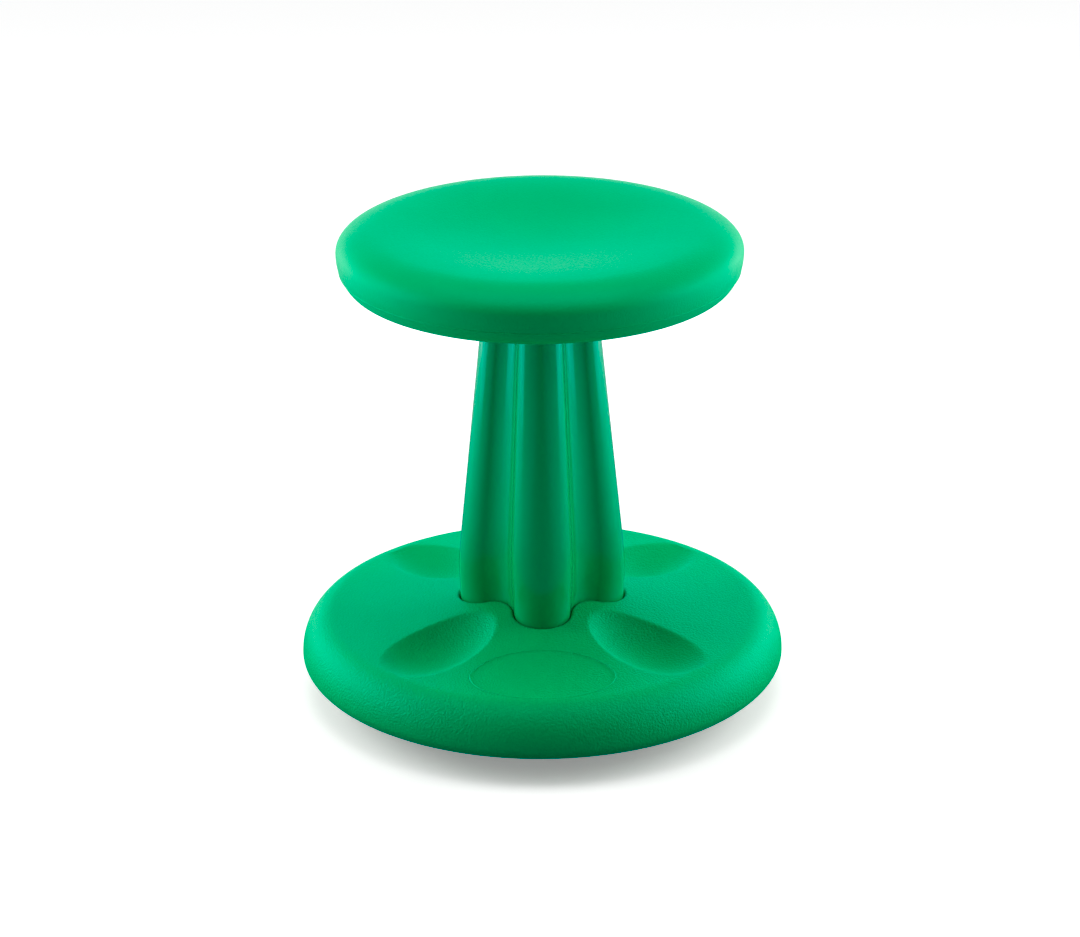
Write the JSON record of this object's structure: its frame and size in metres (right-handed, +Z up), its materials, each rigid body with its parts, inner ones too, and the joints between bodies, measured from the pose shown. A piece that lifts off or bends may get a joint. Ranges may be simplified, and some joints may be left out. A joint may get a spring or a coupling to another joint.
{
  "type": "wobble stool",
  "caption": "Rocking stool for active sitting: a dished round seat on a lobed column over a low round foot with scoops, a convex underside and a rubber sole.",
  "frame": {"origin": "on the floor, under the middle of the upright stool", "axes": "+Z up through the column's middle, -Y towards the front, where the foot's oval panel is, +X to the stool's side"},
  "size_m": [0.356, 0.356, 0.354],
  "materials": {
    "grained_plastic": "satin",
    "glossy_plastic": "gloss",
    "rubber": "matte",
    "zinc_steel": "satin"
  },
  "bodies": {
    "root": {"seat_shell": "grained_plastic", "column": "glossy_plastic", "base_shell": "grained_plastic", "sole_ring": "rubber", "bolt_cap": "rubber", "tie_bolt": "zinc_steel", "bolt_washer": "zinc_steel", "lock_washer": "zinc_steel", "seat_insert": "zinc_steel"}
  },
  "joints": []
}
